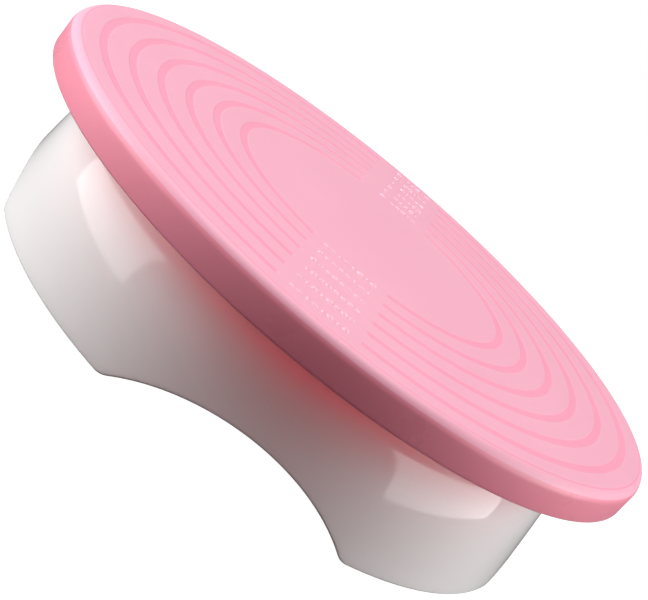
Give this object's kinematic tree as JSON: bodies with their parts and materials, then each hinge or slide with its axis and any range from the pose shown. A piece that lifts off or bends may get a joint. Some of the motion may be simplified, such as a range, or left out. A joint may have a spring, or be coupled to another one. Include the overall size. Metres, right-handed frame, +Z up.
{
  "type": "cake turntable",
  "caption": "Revolving cake stand: round plate with guide rings and a short skirt, turning on a caged ball race above a low domed base with arched feet.",
  "frame": {"origin": "on the table under the middle of the base, on the turning axis", "axes": "+Z up along the turning axis, -Y towards the middle of the front arch, +X to the right"},
  "size_m": [0.28, 0.28, 0.069],
  "materials": {
    "plate_plastic": "pink, satin-gloss moulded plastic",
    "base_plastic": "white, high-gloss moulded plastic",
    "nylon": "natural nylon",
    "steel": "zinc-plated steel",
    "ball_steel": "polished bearing steel",
    "rubber": "matt rubber"
  },
  "bodies": {
    "base": {"base_shell": "base_plastic", "lower_race": "steel", "spindle_bush": "nylon", "foot_pad_1": "rubber", "foot_pad_2": "rubber", "foot_pad_3": "rubber", "foot_pad_4": "rubber", "lower_screw_1": "steel", "lower_screw_2": "steel", "lower_screw_3": "steel", "lower_screw_4": "steel"},
    "turntable": {"turntable_plate": "plate_plastic", "upper_race": "steel", "spindle": "steel", "retaining_washer": "steel", "retaining_screw": "steel", "upper_screw_1": "steel", "upper_screw_2": "steel", "upper_screw_3": "steel", "upper_screw_4": "steel"},
    "ball_carrier": {"ball_cage": "nylon", "ball_01": "ball_steel", "ball_02": "ball_steel", "ball_03": "ball_steel", "ball_04": "ball_steel", "ball_05": "ball_steel", "ball_06": "ball_steel", "ball_07": "ball_steel", "ball_08": "ball_steel", "ball_09": "ball_steel", "ball_10": "ball_steel", "ball_11": "ball_steel", "ball_12": "ball_steel"}
  },
  "joints": [
    {"name": "plate_spin", "type": "hinge", "parent": "base", "child": "turntable", "pos_m": [0, 0, 0.056], "axis": [0, 0, 1], "continuous": true},
    {"name": "cage_spin", "type": "hinge", "parent": "base", "child": "ball_carrier", "pos_m": [0, 0, 0.056], "axis": [0, 0, 1], "continuous": true}
  ],
  "couplings": [
    {"joint": "cage_spin", "follows": "plate_spin", "ratio": 0.5}
  ]
}
